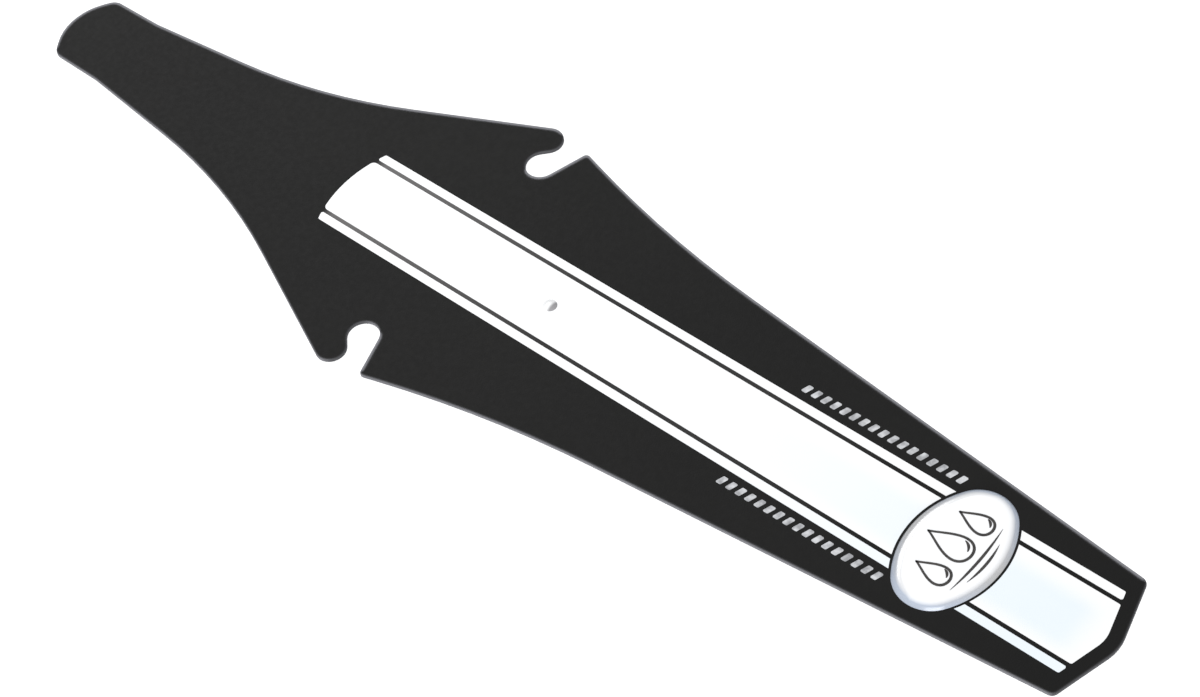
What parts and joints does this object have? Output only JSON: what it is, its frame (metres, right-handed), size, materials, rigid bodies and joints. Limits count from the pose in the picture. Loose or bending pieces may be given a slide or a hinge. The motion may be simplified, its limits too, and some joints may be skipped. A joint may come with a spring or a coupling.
{
  "type": "rear mudguard",
  "caption": "Flat die-cut rear mudguard that clips under a bicycle saddle: a tongue, hooked notches for the saddle rails, a tapered tail, a white band with pinstripes and an oval badge.",
  "frame": {"origin": "under the middle of the sheet's length, on its centre line and on its flat underside", "axes": "+X from the tongue towards the tail, +Y towards the rider's right, +Z out of the printed face"},
  "size_m": [0.355, 0.0938, 0.0023],
  "materials": {
    "black_sheet": "black satin polypropylene sheet with a fine grain",
    "white_print": "smooth opaque white print",
    "badge_white": "glossy white moulded plastic"
  },
  "bodies": {
    "root": {"guard_sheet": "black_sheet", "front_band": "white_print", "rear_band": "white_print", "right_front_stripe": "white_print", "right_rear_stripe": "white_print", "left_front_stripe": "white_print", "left_rear_stripe": "white_print", "oval_badge": "badge_white"}
  },
  "joints": []
}
